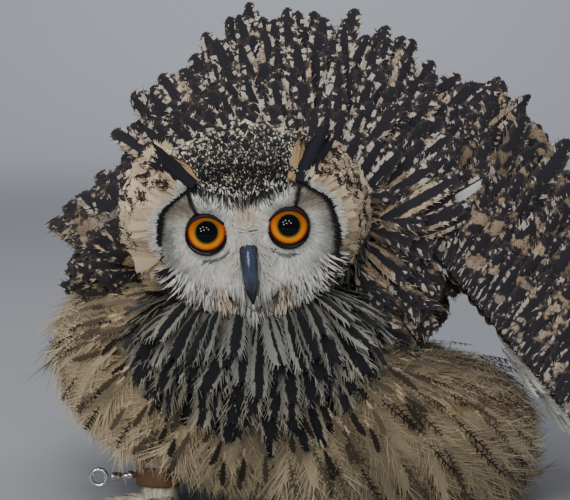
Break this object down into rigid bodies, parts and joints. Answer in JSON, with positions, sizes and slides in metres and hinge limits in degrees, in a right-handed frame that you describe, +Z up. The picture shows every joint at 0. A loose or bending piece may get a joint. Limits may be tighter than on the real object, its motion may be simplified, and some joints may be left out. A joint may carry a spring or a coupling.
{
  "type": "eagle owl in threat display",
  "caption": "Life-size eagle owl standing hunched with raised back feathers, one wing half spread, orange eyes, ear tufts, taloned feet and a leg swivel.",
  "frame": {"origin": "middle of the bounding box's bottom, on the floor that the feet stand on", "axes": "+Z up, -Y the way the face looks, +X toward the owl's left wing"},
  "size_m": [0.6416, 0.468, 0.337],
  "materials": {
    "buff_plumage": "matte, loose barred plumes",
    "pale_plumage": "matte, cream with dark shaft streaks",
    "dark_plumage": "matte, blackish with buff notches",
    "bill": "satin slate horn",
    "eye": "glossy orange iris, black pupil",
    "claw": "satin black horn",
    "leather": "matte strap",
    "steel": "polished"
  },
  "bodies": {
    "root": {"anklet_left": "leather", "anklet_right": "leather", "back": "dark_plumage", "bill_lower": "bill", "bill_upper": "bill", "breast": "pale_plumage", "ear_tuft_left": "dark_plumage", "ear_tuft_right": "dark_plumage", "eye_left": "eye", "eye_right": "eye", "foot_left": "pale_plumage", "foot_right": "pale_plumage", "head": "pale_plumage", "leg_left": "pale_plumage", "leg_right": "pale_plumage", "neck": "buff_plumage", "swivel_ring": "steel", "swivel_shank": "steel", "tail": "dark_plumage", "talon_left_hind": "claw", "talon_left_inner": "claw", "talon_left_middle": "claw", "talon_left_outer": "claw", "talon_right_hind": "claw", "talon_right_inner": "claw", "talon_right_middle": "claw", "talon_right_outer": "claw", "torso": "buff_plumage", "wing_left_arm": "dark_plumage", "wing_left_hand": "dark_plumage", "wing_right_arm": "dark_plumage", "wing_right_hand": "dark_plumage"}
  },
  "joints": []
}
